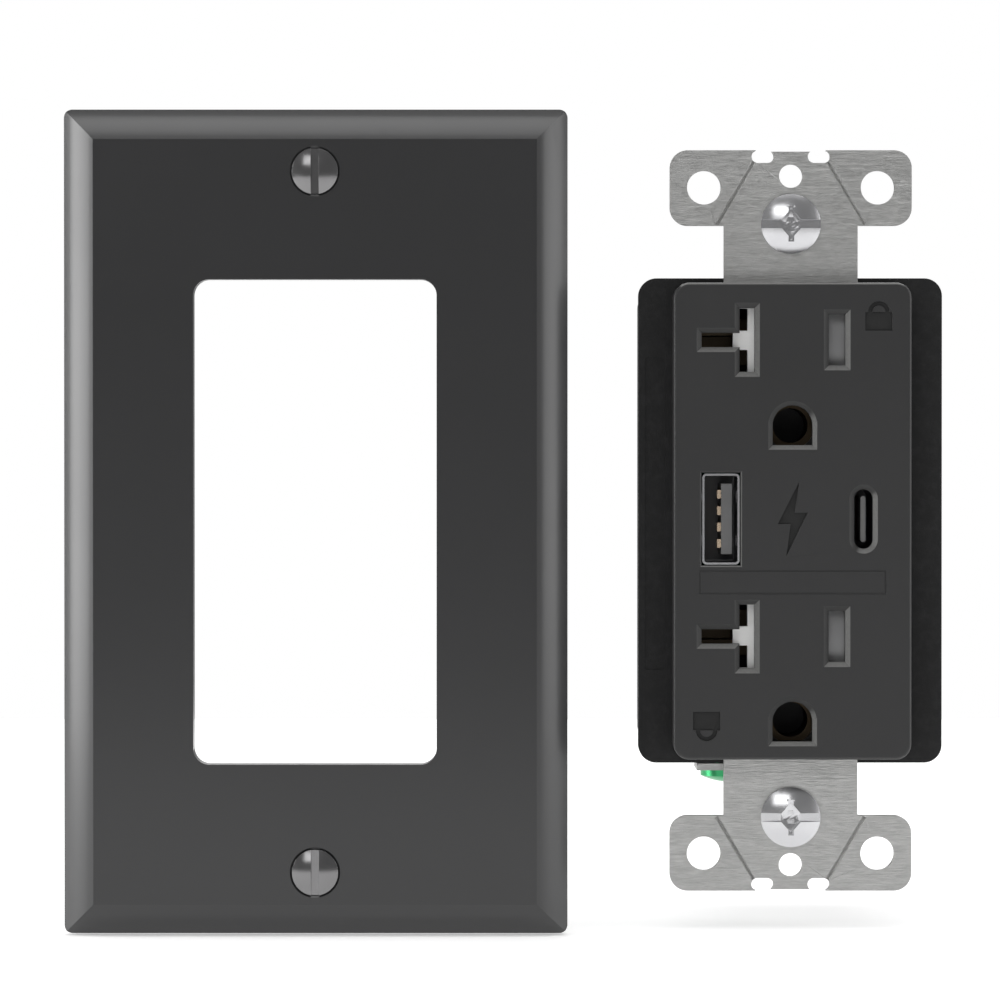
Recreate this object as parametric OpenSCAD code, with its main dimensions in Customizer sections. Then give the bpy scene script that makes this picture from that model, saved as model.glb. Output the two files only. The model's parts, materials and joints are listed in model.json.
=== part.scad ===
// Duplex wall outlet with two charging ports, and the decorator wall plate that covers it.
// +X is to the right, +Z is up and the face looks towards -Y. The plane y = 0 is the wall,
// on which the strap's ears rest. The origin lies midway between the two box screws.
// The wall plate lies beside the outlet, taken off.

/* [Wall plate] */
// Width of the wall plate
plate_w = 69.85; // [66:0.05:90]
// Height of the wall plate
plate_h = 114.3; // [112:0.1:140]
// Distance from the wall to the plate's flat front
plate_depth = 5.6; // [5:0.1:7]
// Thickness of the plate's wall
plate_wall = 2.0; // [1.2:0.1:2.2]
// Width of the bevel round the plate's edge
plate_rim = 4.3; // [3:0.1:6]
// Corner radius of the plate's outline
plate_corner = 1.2; // [0.6:0.1:2]
// Clearance between the window and the face on each side
window_gap = 0.2; // [0.1:0.05:0.5]
// Distance between the two plate screws
plate_pitch = 96.84; // [96:0.02:98]
// Distance from the plate's middle to the outlet's middle when the plate is off
plate_aside = 66.4; // [62:0.1:120]
// Distance that the plate stands in front of the wall when it is off
plate_off = 8.7; // [8:0.1:20]

/* [Face and housing] */
// Width of the face
face_w = 33.2; // [32:0.1:40]
// Height of the face
face_h = 66.6; // [66:0.1:80]
// Distance that the face stands out of the wall
face_depth = 6.6; // [6.2:0.1:8]
// Corner radius of the face
face_corner = 2.2; // [1:0.1:3]
// Radius of the face's rounded edge
face_edge = 0.45; // [0.2:0.05:0.8]
// Thickness of the face's front wall
face_wall = 2.2; // [1.8:0.1:2.4]
// Distance that the housing's front rim stands out beside the face
rim_side = 4.75; // [4:0.05:6]
// Distance that the housing's front rim stands out above and below the face
rim_end = 0.8; // [0.6:0.05:1.5]
// Depth of the housing behind the wall
body_depth = 36.4; // [34:0.1:46]
// Thickness of the housing's front rim
rim_t = 3.2; // [2.5:0.1:3.4]
// Wall thickness of the housing
body_wall = 1.6; // [1.2:0.1:2]

/* [Strap] */
// Length of the mounting strap
strap_len = 104.1; // [104:0.1:125]
// Thickness of the mounting strap
strap_t = 1.2; // [1:0.05:1.4]
// Width across the strap's ears
ear_w = 34.0; // [30:0.1:42]
// Height of the strap's ears
ear_h = 10.6; // [9:0.1:14]
// Width of the strap's neck
neck_w = 18.8; // [16:0.1:24]
// Distance between the two box screws
box_pitch = 83.34; // [83:0.02:85]
// Spacing of the ear holes across the strap
ear_hole_dx = 24.4; // [20:0.1:28]
// Distance from each end of the strap to its ear holes
ear_hole_in = 5.25; // [4:0.05:6]
// Diameter of the ear holes
ear_hole_d = 4.75; // [3:0.05:5]

/* [Outlets] */
// Height of the upper outlet's blade slots
upper_row_z = 25.3; // [25:0.1:27]
// Height of the lower outlet's blade slots
lower_row_z = -16.1; // [-17:0.1:-15.5]
// Distance from each blade slot to the outlet's middle
blade_x = 6.35; // [6.2:0.05:6.5]
// Distance from the blade slots down to the ground hole
ground_drop = 11.9; // [11.8:0.05:12.5]
// Width of the neutral slot
neutral_slot_w = 2.1; // [1.8:0.05:2.3]
// Height of the neutral slot
neutral_slot_h = 8.9; // [8:0.1:9.2]
// Width of the hot slot
hot_slot_w = 2.3; // [1.8:0.05:2.5]
// Height of the hot slot
hot_slot_h = 7.1; // [6.6:0.1:8]
// Radius of the ground hole
ground_r = 2.78; // [2.6:0.02:3]
// Travel of the safety shutters
shutter_travel = 3.1; // [3:0.05:3.3]

/* [Charging ports] */
// Distance from the rectangular port to the middle
port_a_x = 10.0; // [9.8:0.05:10.2]
// Distance from the oval port to the middle
port_c_x = 9.9; // [9.5:0.05:10.2]
// Height of the charging ports
port_z = 0.3; // [-0.5:0.1:0.5]
// Width of the rectangular port's shell
port_a_w = 5.2; // [5:0.05:5.4]
// Height of the rectangular port's shell
port_a_h = 12.7; // [12.5:0.05:13]
// Width of the oval port's opening
port_c_w = 2.6; // [2.5:0.05:2.8]
// Height of the oval port's opening
port_c_h = 8.3; // [8.2:0.05:8.6]

/* [Hidden] */
$fn = 64;
over = 1; // how far a cut runs past the surface that it opens
play = 0.3; // clearance beside a part that slides
seat_gap = 0.05; // clearance under the head of a screw that turns or slides
rows = [upper_row_z, lower_row_z];

// strap and cover
ear_hole_dz = strap_len - 2 * ear_hole_in; // spacing of the ear holes along the strap
neck_gap = 0.15;
face_side = 2.0; // side wall of the front cover
skirt = 1.0; // the cover's wall beside the strap
strap_mid_w = face_w - 2 * (skirt + 0.1);
strap_mid_h = face_h - 2 * (skirt + 0.2);
face_inner = -face_depth + face_wall; // back surface of the front wall
window_x = strap_mid_w / 2 - 1.6; // half width of the strap's windows
ear_corner = 2.5;
row_window_h = 10.6; // height of the strap's window behind a row of slots
notch_x = 3.95;
notch_r = 0.875;
notch_reach = 0.68;
tab_step = 0.2;
plate_hole_r = 1.65;
score_depth = 0.3;
screw_slot_r = 1.9;
screw_slot_len = 6.2;

// housing
body_w = face_w + 2 * rim_side; // the front rim
body_h = face_h + 2 * rim_end;
body_inset = 0.8;
body_corner = 2.5;
house_w = body_w - 2 * body_inset;
house_h = body_h - 2 * body_inset;
mouth_w = face_w - 3.4; // opening of the rim behind the strap
mouth_h = face_h - 4.2;
rail_x = mouth_w / 2; // inner face of each bus bar
rail_t = 0.9;
bay_z = 21; // middle of the terminal bays
bay_half = 6; // half height of a terminal bay
bay_floor = 14;
bay_wall = 1.4;

// contacts, all behind the strap
jaw_front = 2.0;
jaw_back = 9.4;
jaw_gap = 0.8; // half the width between two contact leaves
leaf_t = 0.5;
carrier_front = 10.0;
carrier_back = 11.6;
divider_z = 9.3; // inner face of the carrier's dividers
divider_t = 1.0;
socket_r = 2.45; // bore of the ground sockets
socket_wall = 0.5;
strip_t = 0.6;
strip_w = 7.0;
rivet_r = 0.7;
rivet_head_r = 1.15;
rivet_head_h = 0.4;

// shutters, between the front wall and the strap
guide_back = -strap_t;
guide_front = -strap_t - 1.0;
shutter_back = guide_front - play;
shutter_front = face_inner + play;
shutter_half = 4.95;
guide_half = shutter_half + play;
guide_wall = 0.7;
shutter_left = -13.4;
shutter_right = 8.6;
guide_right = 13.0; // inner face of the guide's end wall
ramp_w = 3.5;
ramp_h = 8.0;
arm_far = 12.7; // far end of the neutral slot's side arm
arm_h = 2.0;

// boards and what stands on them
port_board_front = 7.6;
board_t = 1.2;
power_board_front = 16.2;
power_board_back = power_board_front + 1.6;
power_board_half_w = 17.4;
power_board_half_h = 30.6;
lead_half = 1.6;

// screws
post_x = 11.5;
assembly_r = 1.2;
post_r = 2.3;
box_head_r = 4.2;
box_neck_r = 1.55;
box_thread_r = 1.75;
box_thread_end = 20;
washer_t = 0.5;
terminal_r = 1.9;
terminal_head_r = 3.9;
terminal_y = 7.4;
clamp_gap = 0.3;
clamp_t = 1.2;
clamp_half = 3.9;
terminal_head_h = 2.1;
tab_top = -body_h / 2 - 0.15;
tab_t = 0.95;
tab_left = -13.1;
tab_right = -3.9;
ground_screw_x = -8.5;
ground_screw_y = 5.6;
plate_screw_r = 1.55;
plate_hole_in_plate = 2.0;
plate_head_r = 3.2;
plate_sink_r = 3.5;
plate_screw_len = 12.0;

function ground_z(row) = row - ground_drop;
function rivet_z(row) = ground_z(row) + ground_r + 1.97;

// A box between two opposite corners
module block(low, high) {
    translate(low) cube(high - low);
}

// A flat outline, drawn as seen from the front, made solid between two depths
module slab(front, back) {
    translate([0, back, 0]) rotate([90, 0, 0]) linear_extrude(back - front) children();
}

// Rods along the three axes
module rod_y(x, z, front, back, r) {
    translate([x, back, z]) rotate([90, 0, 0]) cylinder(h = back - front, r = r);
}
module rod_x(y, z, left, right, r) {
    translate([left, y, z]) rotate([0, 90, 0]) cylinder(h = right - left, r = r);
}

// A rectangle with rounded corners
module rounded(w, h, r) {
    square([w - 2 * r, h], center = true);
    square([w, h - 2 * r], center = true);
    for (x = [-1, 1], y = [-1, 1]) translate([x * (w / 2 - r), y * (h / 2 - r)]) circle(r);
}

// A rounded block whose front edge is rounded too
module soft_block(w, h, front, back, corner, edge) {
    bar = corner - edge;
    slab(front, back) rounded(w - 2 * edge, h - 2 * edge, bar);
    slab(front + edge, back) rounded(w, h, corner);
    for (s = [-1, 1]) {
        translate([s * (w / 2 - edge), front + edge, 0])
            cylinder(h = h - 2 * corner, r = edge, center = true);
        translate([0, front + edge, s * (h / 2 - edge)])
            rotate([0, 90, 0]) cylinder(h = w - 2 * corner, r = edge, center = true);
    }
    for (x = [-1, 1], z = [-1, 1])
        translate([x * (w / 2 - corner), front + edge, z * (h / 2 - corner)])
            rotate([90, 0, 0]) rotate_extrude() translate([bar, 0]) circle(edge);
}

// Section of the wall plate: steep at the outer edge, then a convex slope up to the flat front
module plate_section(w, depth, rim) {
    steps = 10;
    side = depth * 0.3;
    bulge = 0.13;
    slope = [for (i = [0:steps]) let (t = i / steps)
        [w / 2 - rim * t, -side - (depth - side) * (t + bulge * sin(180 * t))]];
    mirrored = [for (i = [steps:-1:0]) [-slope[i][0], slope[i][1]]];
    polygon(concat([[w / 2, 0]], slope, mirrored, [[-w / 2, 0]]));
}

// The plate's outer or inner form, with mitred bevels on its four sides
module plate_form(w, h, depth, rim, corner) {
    intersection() {
        linear_extrude(h + over, center = true) plate_section(w, depth, rim);
        rotate([0, 90, 0]) linear_extrude(w + over, center = true) plate_section(h, depth, rim);
        slab(-depth - over, over) rounded(w, h, corner);
    }
}

// A rectangular opening that narrows from its flare at the front to its throat
module flare(w, h, spread, front, depth) {
    intersection() {
        linear_extrude(h + 4 * spread, center = true)
            polygon([[-w / 2 - spread, front], [w / 2 + spread, front],
                [w / 2, front + depth], [-w / 2, front + depth]]);
        rotate([0, -90, 0]) linear_extrude(w + 4 * spread, center = true)
            polygon([[-h / 2 - spread, front], [h / 2 + spread, front],
                [h / 2, front + depth], [-h / 2, front + depth]]);
    }
}

// A slot through the front wall with its flare
module slot(x, z, w, h, spread) {
    translate([x, 0, z]) {
        flare(w, h, spread, -face_depth, spread);
        block([-w / 2, -face_depth + spread / 2, -h / 2], [w / 2, face_inner + over, h / 2]);
    }
}

module outlet_openings(row) {
    spread = 0.72;
    arm_w = arm_far - blade_x;
    slot(-blade_x, row, neutral_slot_w, neutral_slot_h, spread);
    slot(-blade_x - arm_w / 2, row, arm_w, arm_h, spread);
    slot(blade_x - 0.15, row, hot_slot_w, hot_slot_h, spread);
    translate([0, 0, ground_z(row)]) {
        slab(-face_depth - over, face_inner + over) ground_outline(0);
        intersection() {
            translate([0, -face_depth, 0]) rotate([-90, 0, 0])
                cylinder(h = 0.65, r1 = ground_r + 0.65, r2 = ground_r);
            block([-5, -face_depth - over, 0], [5, 0, 5]);
        }
        translate([0, 0, -ground_r / 2]) flare(2 * ground_r, ground_r + 0.02, 0.65, -face_depth, 0.65);
    }
}

// Ground hole: round above, square below
module ground_outline(grow) {
    r = ground_r + grow;
    circle(r);
    translate([-r, -r]) square([2 * r, r]);
}

// A slot with round ends, upright
module upright_slot(w, h) {
    square([w, h - w], center = true);
    for (s = [-1, 1]) translate([0, s * (h - w) / 2]) circle(w / 2);
}

// A plain charging mark: a bolt
module bolt_mark() {
    polygon([[0.9, 5.2], [-2.1, -0.7], [-0.3, -0.7], [-0.9, -5.2], [2.1, 0.9], [0.3, 0.9]]);
}

// A plain child-safety mark: a padlock
module lock_mark() {
    translate([-1.9, -2.3]) square([3.8, 2.6]);
    translate([0, 0.3]) difference() {
        union() {
            circle(1.5);
            translate([-1.5, -0.3]) square([3, 0.3]);
        }
        circle(0.9);
        translate([-0.9, -0.4]) square([1.8, 0.4]);
    }
}

module wall_plate() {
    window_w = face_w + 2 * window_gap;
    window_h = face_h + 2 * window_gap;
    collar = 1.2;
    inner_depth = plate_depth - plate_wall;
    color("#38383a") translate([-plate_aside, -plate_off, 0]) difference() {
        union() {
            difference() {
                plate_form(plate_w, plate_h, plate_depth, plate_rim, plate_corner);
                translate([0, 0.001, 0]) plate_form(plate_w - 2 * plate_wall,
                    plate_h - 2 * plate_wall, inner_depth, plate_rim - 0.6, plate_corner / 2);
            }
            slab(-inner_depth - 0.1, -strap_t - 0.8)
                rounded(window_w + 2 * collar, window_h + 2 * collar, face_corner + collar);
        }
        slab(-plate_depth - over, over) rounded(window_w, window_h, face_corner);
        for (s = [-1, 1]) {
            rod_y(0, s * plate_pitch / 2, -plate_depth - over, over, plate_hole_in_plate);
            translate([0, -plate_depth - 0.001, s * plate_pitch / 2]) rotate([-90, 0, 0])
                cylinder(h = 1.5, r1 = plate_sink_r, r2 = plate_hole_in_plate);
        }
    }
}

// One oval-head screw with a vertical slot, its head's edge on the plate's front
module oval_screw() {
    cap = 0.8;
    ball = (plate_head_r * plate_head_r + cap * cap) / (2 * cap);
    difference() {
        union() {
            intersection() {
                translate([0, ball - cap, 0]) sphere(ball);
                rod_y(0, 0, -cap - over, 0.2, plate_head_r);
            }
            translate([0, 0.2, 0]) rotate([-90, 0, 0])
                cylinder(h = 1.2, r1 = plate_head_r, r2 = plate_screw_r);
            rod_y(0, 0, 0.2, plate_screw_len, plate_screw_r);
        }
        block([-0.55, -cap - over, -plate_head_r - over], [0.55, 0.25, plate_head_r + over]);
    }
}

module plate_screws() {
    color("#2b2a2c") for (s = [-1, 1])
        translate([-plate_aside, -plate_off - plate_depth, s * plate_pitch / 2]) oval_screw();
}

module front_cover() {
    boss_r = 2.4;
    pad_w = 26.1;
    pad_h = 3.4;
    mark_depth = 0.3;
    color("#3a3a3b") difference() {
        union() {
            difference() {
                soft_block(face_w, face_h, -face_depth, 0, face_corner, face_edge);
                slab(face_inner, -strap_t) rounded(face_w - 2 * face_side, face_h - 2 * face_side, 0.3);
                slab(-strap_t, over) rounded(face_w - 2 * skirt, face_h - 2 * skirt, 1.2);
            }
            for (row = rows, s = [-1, 1]) rod_y(s * post_x, ground_z(row), face_inner - 0.1, -strap_t, boss_r);
        }
        block([-neck_w / 2 - neck_gap, -strap_t - neck_gap, -face_h], [neck_w / 2 + neck_gap, over, face_h]);
        for (row = rows) outlet_openings(row);
        translate([-port_a_x, 0, port_z]) {
            flare(port_a_w + 0.3, port_a_h + 0.3, 0.2, -face_depth, 0.2);
            block([-port_a_w / 2 - 0.15, -face_depth, -port_a_h / 2 - 0.15],
                [port_a_w / 2 + 0.15, face_inner + over, port_a_h / 2 + 0.15]);
        }
        translate([port_c_x, 0, port_z]) {
            slab(-face_depth - over, face_inner + over) upright_slot(port_c_w, port_c_h);
            port_c_flare();
        }
        for (row = rows, s = [-1, 1])
            rod_y(s * post_x, ground_z(row), face_inner, over, assembly_r + 0.05);
        slab(-face_depth - over, -face_depth + mark_depth) {
            translate([0, port_z]) bolt_mark();
            translate([face_w / 2 - 4.6, face_h / 2 - 4.4]) lock_mark();
            translate([-face_w / 2 + 4.6, -face_h / 2 + 4.4]) rotate(180) lock_mark();
        }
        slab(-face_depth - over, -face_depth + 0.12) translate([0, -8.5]) difference() {
            square([pad_w, pad_h], center = true);
            square([pad_w - 0.5, pad_h - 0.5], center = true);
        }
    }
}

// Flare of the oval port: round at both ends, straight between them
module port_c_flare() {
    spread = 0.7;
    r = port_c_w / 2;
    half = (port_c_h - port_c_w) / 2;
    for (s = [-1, 1]) translate([0, -face_depth, s * half]) rotate([-90, 0, 0])
        cylinder(h = spread, r1 = r + spread, r2 = r);
    linear_extrude(2 * half, center = true)
        polygon([[-r - spread, -face_depth], [r + spread, -face_depth],
            [r, -face_depth + spread], [-r, -face_depth + spread]]);
}

module strap() {
    low_mark = tab_top;
    color("#9a9a98") difference() {
        union() {
            slab(-strap_t, 0) difference() {
                union() {
                    rounded(strap_mid_w, strap_mid_h, 1.4);
                    square([neck_w, strap_len - ear_h], center = true);
                    for (s = [-1, 1]) translate([0, s * (strap_len - ear_h) / 2]) rounded(ear_w, ear_h, ear_corner);
                }
                for (row = rows) {
                    translate([0, row]) square([2 * window_x, row_window_h], center = true);
                    translate([0, rivet_z(row)]) circle(rivet_r + seat_gap);
                    translate([0, ground_z(row)]) circle(ground_r + 0.6);
                    for (s = [-1, 1]) translate([s * post_x, ground_z(row)]) circle(assembly_r + 0.3);
                }
                square([2 * window_x, 2 * divider_z - 1.2], center = true);
                for (s = [-1, 1]) {
                    translate([0, s * plate_pitch / 2]) circle(plate_hole_r);
                    translate([0, s * box_pitch / 2]) rotate(90) upright_slot(2 * screw_slot_r, screw_slot_len);
                    for (x = [-1, 1]) {
                        translate([x * ear_hole_dx / 2, s * ear_hole_dz / 2]) circle(ear_hole_d / 2);
                        translate([x * notch_x, s * (strap_len / 2 - 0.9)]) ear_notch(s);
                    }
                    translate([0, s * (strap_len / 2 - tab_step / 2)])
                        square([2 * notch_x, tab_step + 0.001], center = true);
                }
            }
            block([tab_left, 0.3, low_mark - tab_t], [tab_right, 10.6, low_mark]);
            block([-neck_w / 2, -strap_t / 2, low_mark - tab_t], [tab_right, 0.4, low_mark]);
        }
        for (s = [-1, 1], x = [-1, 1]) score_line(x, s);
        translate([ground_screw_x, ground_screw_y, low_mark - tab_t - over])
            cylinder(h = tab_t + 2 * over, r = terminal_r + 0.06);
    }
}

// Oval bite between an ear and the middle tab, open to the strap's end
module ear_notch(end) {
    translate([-notch_reach, -notch_r]) square([2 * notch_reach, 2 * notch_r]);
    for (s = [-1, 1]) translate([s * notch_reach, 0]) circle(notch_r);
    translate([-notch_reach - 0.3, end > 0 ? 0 : -1.2]) square([2 * notch_reach + 0.6, 1.2]);
}

// Break-off groove across the root of an ear
module score_line(side, end) {
    root = [side * 10.4, end * (strap_len / 2 - ear_h + 0.2)];
    tip = [side * 5.2, end * (strap_len / 2 - 1.6)];
    span = tip - root;
    translate([root[0], -strap_t, root[1]])
        rotate([0, -atan2(span[1], span[0]), 0]) rotate([45, 0, 0])
            translate([0, -score_depth * 0.7, -score_depth * 0.7])
                cube([norm(span), score_depth * 1.4, score_depth * 1.4]);
}

// One combination-slot screw on the strap, its length running back into the box
module box_screw(z) {
    cap = 1.1; // rise of the head's dome
    edge = 0.6; // height of the head's rim
    slot_deep = cap + 0.1;
    slot_half = 0.61;
    ball = (box_head_r * box_head_r + cap * cap) / (2 * cap);
    seat = -strap_t - seat_gap;
    crown = seat - edge - cap;
    color("#c4c4c4") translate([0, 0, z]) difference() {
        union() {
            intersection() {
                translate([0, crown + ball, 0]) sphere(ball);
                rod_y(0, 0, crown - over, seat, box_head_r);
            }
            rod_y(0, 0, seat - 0.1, washer_t + 0.3, box_neck_r);
            rod_y(0, 0, washer_t + 0.3, box_thread_end, box_thread_r);
        }
        block([-box_head_r - over, crown - over, -slot_half], [box_head_r + over, crown + slot_deep, slot_half]);
        block([-0.4, crown - over, -2.5], [0.4, crown + 0.9, 2.5]);
        slab(crown - over, crown + slot_deep)
            polygon([[-1.9, 0], [0, 2.15], [1.9, 0], [0, -2.15]]);
        for (a = [0, 90]) rotate([0, a, 0]) block([-0.33, crown, -1], [0.33, crown + slot_deep + 0.7, 1]);
    }
}

module retaining_washers() {
    color("#b9a27a") for (s = [-1, 1]) difference() {
        slab(0, washer_t) translate([0, s * box_pitch / 2]) square([9, 9], center = true);
        rod_y(0, s * box_pitch / 2, -over, over + washer_t, box_neck_r + seat_gap);
    }
}

module back_body() {
    label_w = 20;
    label_h = 26;
    color("#1b1b1c") difference() {
        union() {
            slab(0, rim_t) rounded(body_w, body_h, body_corner);
            slab(rim_t, body_depth) rounded(house_w, house_h, body_corner);
        }
        slab(-over, rim_t + 0.1) rounded(mouth_w, mouth_h, 1);
        difference() {
            slab(rim_t, body_depth - body_wall)
                rounded(house_w - 2 * body_wall, house_h - 2 * body_wall, 1.5);
            for (s = [-1, 1], z = [-1, 1]) bay_shell(s, z);
            for (row = rows, s = [-1, 1])
                rod_y(s * post_x, ground_z(row), power_board_front - 3, body_depth, post_r);
        }
        for (s = [-1, 1], z = [-1, 1]) bay_hollow(s, z);
        for (row = rows, s = [-1, 1]) {
            rod_y(s * post_x, ground_z(row), 0, body_depth + over, assembly_r + 0.05);
            rod_y(s * post_x, ground_z(row), body_depth - 1.4, body_depth + over, 2.4);
        }
        translate([ground_screw_x, ground_screw_y, -body_h])
            cylinder(h = body_h / 2 + body_h / 4, r = terminal_r + 0.4);
        slab(body_depth - 0.3, body_depth + over) rounded(label_w, label_h, 1);
        slab(-over, 0.15) translate([-(body_w + face_w) / 4 - 0.1, 1]) rounded(2.7, 44, 0.4);
    }
}

// The walls and the floor of a terminal bay in the housing
module bay_shell(side, end) {
    grow = bay_half + bay_wall;
    scale_x = house_w / 2;
    translate([side > 0 ? rail_x + rail_t + 0.1 : -scale_x, rim_t - 0.1, end * bay_z - grow])
        cube([scale_x - rail_x - rail_t - 0.1, bay_floor + bay_wall - rim_t + 0.1, 2 * grow]);
}

module bay_hollow(side, end) {
    reach = body_w / 2 + over - rail_x - rail_t - 0.05;
    translate([side > 0 ? rail_x + rail_t + 0.05 : -body_w / 2 - over, rim_t, end * bay_z - bay_half])
        cube([reach, bay_floor - rim_t, 2 * bay_half]);
}

// A shutter slider at rest: its solid part covers both blade slots
module shutter_slider(row) {
    hole_x = -blade_x - shutter_travel;
    hot_x = blade_x - 0.15 - shutter_travel;
    arm_half = arm_h / 2 + 0.2;
    color("#f4f4f0") translate([0, 0, row]) difference() {
        block([shutter_left, shutter_front, -shutter_half], [shutter_right, shutter_back, shutter_half]);
        block([hole_x - 1.2, shutter_front - over, -4.5], [hole_x + 1.2, over, 4.5]);
        block([shutter_left - over, shutter_front - over, -arm_half], [hole_x, over, arm_half]);
        block([hot_x - 1.2, shutter_front - over, -3.7], [hot_x + 1.2, over, 3.7]);
        for (s = [-1, 1]) block([-7.7, shutter_front - over, s * 2.9 - 1.55], [-6.2, over, s * 2.9 + 1.55]);
        block([blade_x - 0.15 - ramp_w / 2, shutter_front - over, -ramp_h / 2],
            [blade_x - 0.15 + ramp_w / 2, shutter_back - 0.45, ramp_h / 2]);
    }
}

// The convex ramp that shows behind the hot slot
module shutter_ramp(row) {
    arch = 12;
    color("#8a8a88") translate([blade_x - 0.15, 0, row]) intersection() {
        block([-ramp_w / 2, shutter_front, -ramp_h / 2], [ramp_w / 2, shutter_back - 0.45, ramp_h / 2]);
        translate([0, shutter_front + arch, 0]) rotate([0, 90, 0])
            cylinder(h = ramp_w + over, r = arch, center = true);
    }
}

// Points of a coil along +X: one ring of the wire's section at each step
function coil_ring(i, steps, turns, length, r, wire, sides) =
    let (a = 360 * turns * i / steps, x = length * i / steps)
    [for (k = [0:sides - 1]) let (b = 360 * k / sides, d = r + wire * cos(b))
        [x + wire * sin(b), d * cos(a), d * sin(a)]];

module coil(length, r, wire, turns) {
    sides = 5;
    steps = turns * 10;
    points = [for (i = [0:steps]) each coil_ring(i, steps, turns, length, r, wire, sides)];
    last = steps * sides;
    walls = [for (i = [0:steps - 1], k = [0:sides - 1]) let (a = i * sides + k, b = i * sides + (k + 1) % sides)
        each [[a, a + sides, b], [b, a + sides, b + sides]]];
    caps = [[for (k = [0:sides - 1]) k], [for (k = [sides - 1:-1:0]) last + k]];
    polyhedron(points, concat(walls, caps), convexity = 10);
}

module shutter_spring(row) {
    wire = 0.13;
    start = shutter_right + wire + 0.05;
    color("#b8b8b8") translate([start, (shutter_front + shutter_back) / 2, row])
        coil(guide_right - start - wire - 0.05, 0.6, wire, 5);
}

module shutter_guides() {
    left = -rail_x + 0.6;
    right = guide_right + guide_wall;
    color("#2a2a2b") for (row = rows) translate([0, 0, row]) difference() {
        union() {
            block([left, guide_front, -guide_half - guide_wall], [right, guide_back, guide_half + guide_wall]);
            for (s = [-1, 1]) block([left, shutter_front, s * (guide_half + guide_wall / 2) - guide_wall / 2],
                [right, guide_front + 0.1, s * (guide_half + guide_wall / 2) + guide_wall / 2]);
            block([guide_right, shutter_front, -guide_half], [right, guide_front + 0.1, guide_half]);
        }
        block([-blade_x - 1.3, guide_front - over, -4.7], [-blade_x + 1.3, over, 4.7]);
        block([-arm_far - 0.3, guide_front - over, -arm_h / 2 - 0.2], [-blade_x, over, arm_h / 2 + 0.2]);
        block([blade_x - 1.45, guide_front - over, -3.8], [blade_x + 1.2, over, 3.8]);
    }
}

// One bus bar with its contact leaves; side is 1 for hot and -1 for neutral
module bus(side) {
    leaf_h = 3.3;
    for (row = rows) {
        for (s = [-1, 1]) block([side * blade_x + s * (jaw_gap + leaf_t / 2) - leaf_t / 2, jaw_front, row - leaf_h],
            [side * blade_x + s * (jaw_gap + leaf_t / 2) + leaf_t / 2, jaw_back + 0.1, row + leaf_h]);
        block([side > 0 ? blade_x - jaw_gap - leaf_t : -rail_x - 0.1, jaw_back, row - leaf_h],
            [side > 0 ? rail_x + 0.1 : -blade_x + jaw_gap + leaf_t, carrier_front, row + leaf_h]);
    }
    block([side > 0 ? rail_x : -rail_x - rail_t, rim_t + 0.4, -27], [side > 0 ? rail_x + rail_t : -rail_x, carrier_back, 29]);
}

// Threaded holes of the terminal screws in a bus bar
module bus_holes(side) {
    for (z = [-1, 1]) rod_x(terminal_y, z * bay_z, side * (rail_x + rail_t / 2) - over,
        side * (rail_x + rail_t / 2) + over, terminal_r + 0.06);
}

module hot_bus() {
    color("#c9a050") difference() {
        bus(1);
        bus_holes(1);
    }
}

module neutral_bus() {
    color("#c9a050") difference() {
        union() {
            bus(-1);
            for (row = rows, s = [-1, 1])
                block([-arm_far + 0.1, jaw_front, row + s * (jaw_gap + leaf_t / 2) - leaf_t / 2],
                    [-blade_x - jaw_gap - leaf_t - 0.3, jaw_back + 0.1, row + s * (jaw_gap + leaf_t / 2) + leaf_t / 2]);
        }
        bus_holes(-1);
    }
}

module ground_strip() {
    strip_top = rivet_z(upper_row_z) + rivet_head_r;
    strip_low = ground_z(lower_row_z) - socket_r - socket_wall;
    color("#c9a050") difference() {
        union() {
            block([-strip_w / 2, 0, strip_low], [strip_w / 2, strip_t, strip_top]);
            for (row = rows) rod_y(0, ground_z(row), 0.1, 9.2, socket_r + socket_wall);
        }
        for (row = rows) {
            rod_y(0, ground_z(row), -over, 9.2 + over, socket_r);
            block([-0.4, strip_t + 0.4, ground_z(row)], [0.4, 9.2 + over, ground_z(row) + 4]);
        }
        for (row = rows) rod_y(0, rivet_z(row), -over, over, rivet_r + seat_gap);
    }
}

module ground_rivets() {
    color("#d0b060") for (row = rows) {
        rod_y(0, rivet_z(row), -strap_t - rivet_head_h / 2, strip_t + rivet_head_h / 2, rivet_r);
        rod_y(0, rivet_z(row), -strap_t - rivet_head_h, -strap_t, rivet_head_r);
        rod_y(0, rivet_z(row), strip_t, strip_t + rivet_head_h, rivet_head_r);
    }
}

module contact_carrier() {
    half_h = mouth_h / 2 - 0.3;
    post_half = [12, 7.4];
    color("#d8d4c8") difference() {
        union() {
            block([-rail_x, carrier_front, -half_h], [rail_x, carrier_back, half_h]);
            for (s = [-1, 1]) block([-rail_x + 1.2, strip_t + 0.3, s * (divider_z + divider_t / 2) - divider_t / 2],
                [rail_x - 1.2, carrier_front + 0.1, s * (divider_z + divider_t / 2) + divider_t / 2]);
            for (x = [-1, 1], z = [-1, 1]) rod_y(x * post_half[0], z * post_half[1],
                port_board_front + board_t, carrier_front + 0.1, 1.0);
        }
        for (row = rows, s = [-1, 1]) rod_y(s * post_x, ground_z(row), -over, carrier_back + over, assembly_r + 0.4);
        block([-5.4, 0, -8.4], [5.4, carrier_back + over, -5.4]);
    }
}

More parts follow.
